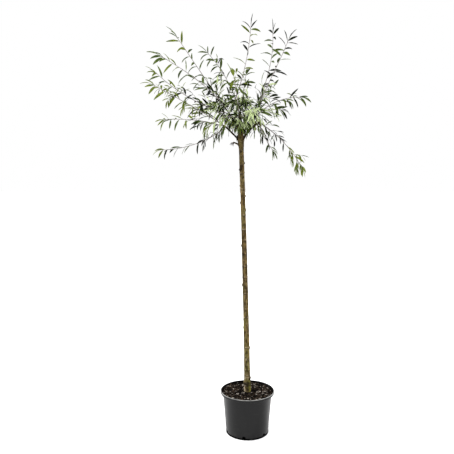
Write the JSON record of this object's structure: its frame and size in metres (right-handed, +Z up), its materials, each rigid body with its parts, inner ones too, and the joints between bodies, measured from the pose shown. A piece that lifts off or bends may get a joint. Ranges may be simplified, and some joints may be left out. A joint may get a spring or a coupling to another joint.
{
  "type": "potted weeping pear tree",
  "caption": "Weeping pear grown as a standard, with a tall clear stem and an airy silver-green crown, in a round black nursery pot.",
  "frame": {"origin": "centre of the pot's flat underside", "axes": "+Z up along the stem, +Y away from the picture's viewer"},
  "size_m": [1.0111, 0.8289, 2.4998],
  "materials": {
    "pot_plastic": "satin",
    "potting_bark": "matte",
    "bark": "matte",
    "leaf_green": "matte"
  },
  "bodies": {
    "root": {"pot": "pot_plastic", "soil": "potting_bark", "trunk": "bark", "bough_left_low": "bark", "bough_left": "bark", "bough_centre": "bark", "bough_right": "bark", "bough_right_low": "bark", "bough_front": "bark", "bough_back": "bark", "foliage_left_rising": "leaf_green", "foliage_left_upper": "leaf_green", "foliage_left_middle": "leaf_green", "foliage_centre_top": "leaf_green", "foliage_left_level": "leaf_green", "foliage_left_weeping": "leaf_green", "foliage_left_spray": "leaf_green", "foliage_centre_back": "leaf_green", "foliage_right_rising": "leaf_green", "foliage_right_outer": "leaf_green", "foliage_right_level": "leaf_green", "foliage_right_weeping": "leaf_green", "foliage_right_inner": "leaf_green", "foliage_front": "leaf_green", "foliage_front_left": "leaf_green", "foliage_front_right": "leaf_green", "foliage_back_high": "leaf_green", "foliage_back_left": "leaf_green", "foliage_back_right": "leaf_green"}
  },
  "joints": []
}
